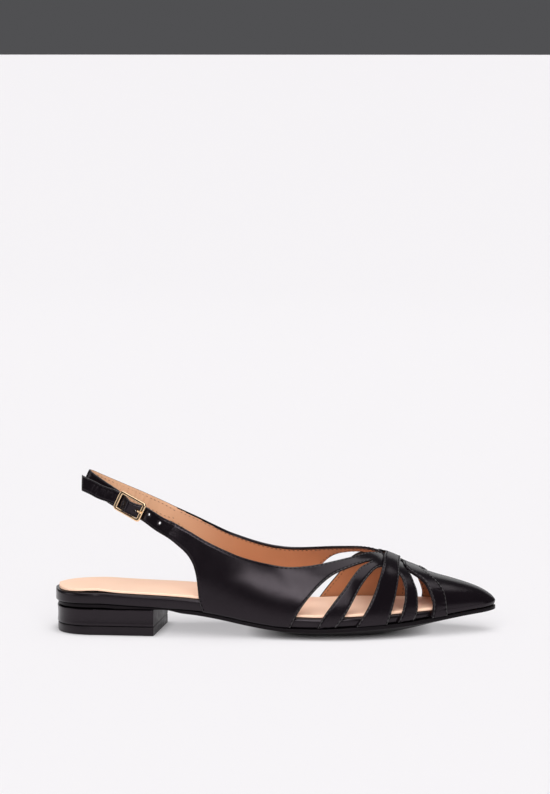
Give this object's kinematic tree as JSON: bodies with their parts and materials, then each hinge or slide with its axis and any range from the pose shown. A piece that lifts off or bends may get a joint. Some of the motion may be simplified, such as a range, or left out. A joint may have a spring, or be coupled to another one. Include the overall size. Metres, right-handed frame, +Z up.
{
  "type": "slingback flat shoe",
  "caption": "Right slingback flat with a pointed toe, crossing cut-out straps over the vamp, a low stacked heel and a buckled heel strap.",
  "frame": {"origin": "on the floor under the middle of the shoe's bounding box", "axes": "+X from heel to toe, +Y to the inner (medial) side, +Z up; the camera of the picture looks from -Y"},
  "size_m": [0.265, 0.0794, 0.0967],
  "materials": {
    "black_sole": "satin moulded black",
    "black_rim": "glossy black leather over board and heel",
    "tan_sock": "matt pale tan sock leather",
    "black_leather": "smooth half-gloss black leather, tan lining",
    "pale_gold": "polished pale gold plating"
  },
  "bodies": {
    "root": {"outsole": "black_sole", "heel_top_piece": "black_sole", "heel_block": "black_rim", "covered_rim": "black_rim", "insole": "tan_sock", "upper": "black_leather", "instep_band": "black_leather", "toe_strip": "black_leather", "buckle_frame": "pale_gold", "buckle_prong": "pale_gold"}
  },
  "joints": []
}
